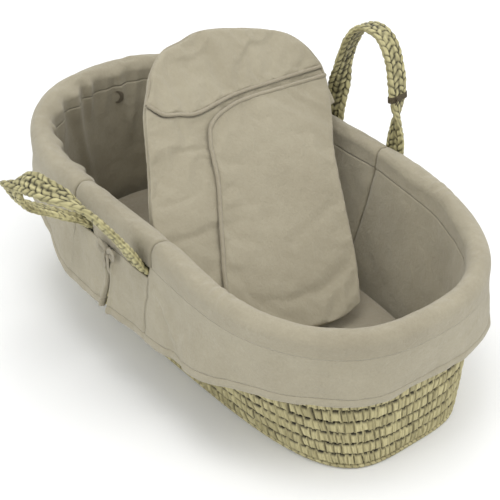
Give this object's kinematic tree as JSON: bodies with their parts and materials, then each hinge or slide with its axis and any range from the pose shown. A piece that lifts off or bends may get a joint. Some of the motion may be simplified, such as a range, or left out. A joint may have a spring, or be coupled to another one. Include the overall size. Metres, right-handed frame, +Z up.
{
  "type": "moses basket",
  "caption": "Oval palm-leaf moses basket with two plaited handles, padded cloth liner with skirt, mattress and a wrap-over baby nest.",
  "frame": {"origin": "centre of the basket's underside, on the floor", "axes": "+X along the basket from the head end to the foot end, +Y across it to the far handle, +Z up"},
  "size_m": [0.8562, 0.6672, 0.4501],
  "materials": {
    "palm_weave": "sewn plaited palm leaf strip",
    "palm_plait": "herringbone palm leaf plait",
    "raffia_cord": "dark raffia winding",
    "liner_velour": "padded short-pile velour",
    "skirt_velour": "short-pile velour, stitched hem",
    "tie_cloth": "narrow sewn ties",
    "motif_thread": "satin stitch embroidery",
    "mattress_foam": "polyether foam",
    "mattress_velour": "fitted velour cover",
    "nest_velour": "padded short-pile velour",
    "piping_velour": "bias-cut piping"
  },
  "bodies": {
    "basket": {"base_panel": "palm_weave", "base_edge_coil": "palm_weave", "wall_course_1": "palm_weave", "wall_course_2": "palm_weave", "wall_course_3": "palm_weave", "wall_course_4": "palm_weave", "wall_course_5": "palm_weave", "wall_course_top": "palm_weave", "rim_binding": "palm_weave", "near_strap_end_head": "palm_plait", "near_strap_end_foot": "palm_plait", "far_strap_end_head": "palm_plait", "far_strap_end_foot": "palm_plait", "liner_head_pad": "liner_velour", "liner_foot_pad": "liner_velour", "liner_near_panel": "liner_velour", "liner_far_panel": "liner_velour", "liner_floor": "liner_velour", "skirt_head": "skirt_velour", "skirt_foot": "skirt_velour", "rim_roll_head": "liner_velour", "rim_roll_foot": "liner_velour", "rim_strip_near": "liner_velour", "rim_strip_far": "liner_velour", "near_tie": "tie_cloth", "far_tie": "tie_cloth", "head_motif": "motif_thread"},
    "near_handle": {"near_handle_loop": "palm_plait"},
    "far_handle": {"far_handle_loop": "palm_plait", "far_handle_binding": "raffia_cord"},
    "mattress": {"mattress_core": "mattress_foam", "mattress_cover": "mattress_velour"},
    "nest": {"nest_back_panel": "nest_velour", "nest_under_flap": "nest_velour", "nest_hood": "nest_velour", "nest_hood_piping": "piping_velour"},
    "nest_flap": {"nest_over_flap": "nest_velour", "nest_flap_piping": "piping_velour"}
  },
  "joints": [
    {"name": "near_handle_swing", "type": "hinge", "parent": "basket", "child": "near_handle", "pos_m": [-0.048, -0.2314, 0.232], "axis": [1, 0, 0], "range_deg": [-36, 55]},
    {"name": "far_handle_swing", "type": "hinge", "parent": "basket", "child": "far_handle", "pos_m": [-0.0155, 0.267, 0.232], "axis": [1, 0, 0], "range_deg": [-100, 3]},
    {"name": "mattress_lift", "type": "slide", "parent": "basket", "child": "mattress", "axis": [0, 0, 1], "range_m": [0, 0.32]},
    {"name": "nest_lift", "type": "slide", "parent": "mattress", "child": "nest", "axis": [0, 0, 1], "range_m": [0, 0.42]},
    {"name": "nest_flap_open", "type": "hinge", "parent": "nest", "child": "nest_flap", "pos_m": [0.1533, 0.107, 0.1244], "axis": [-0.677, 0.379, 0.631], "range_deg": [0, 75]}
  ]
}
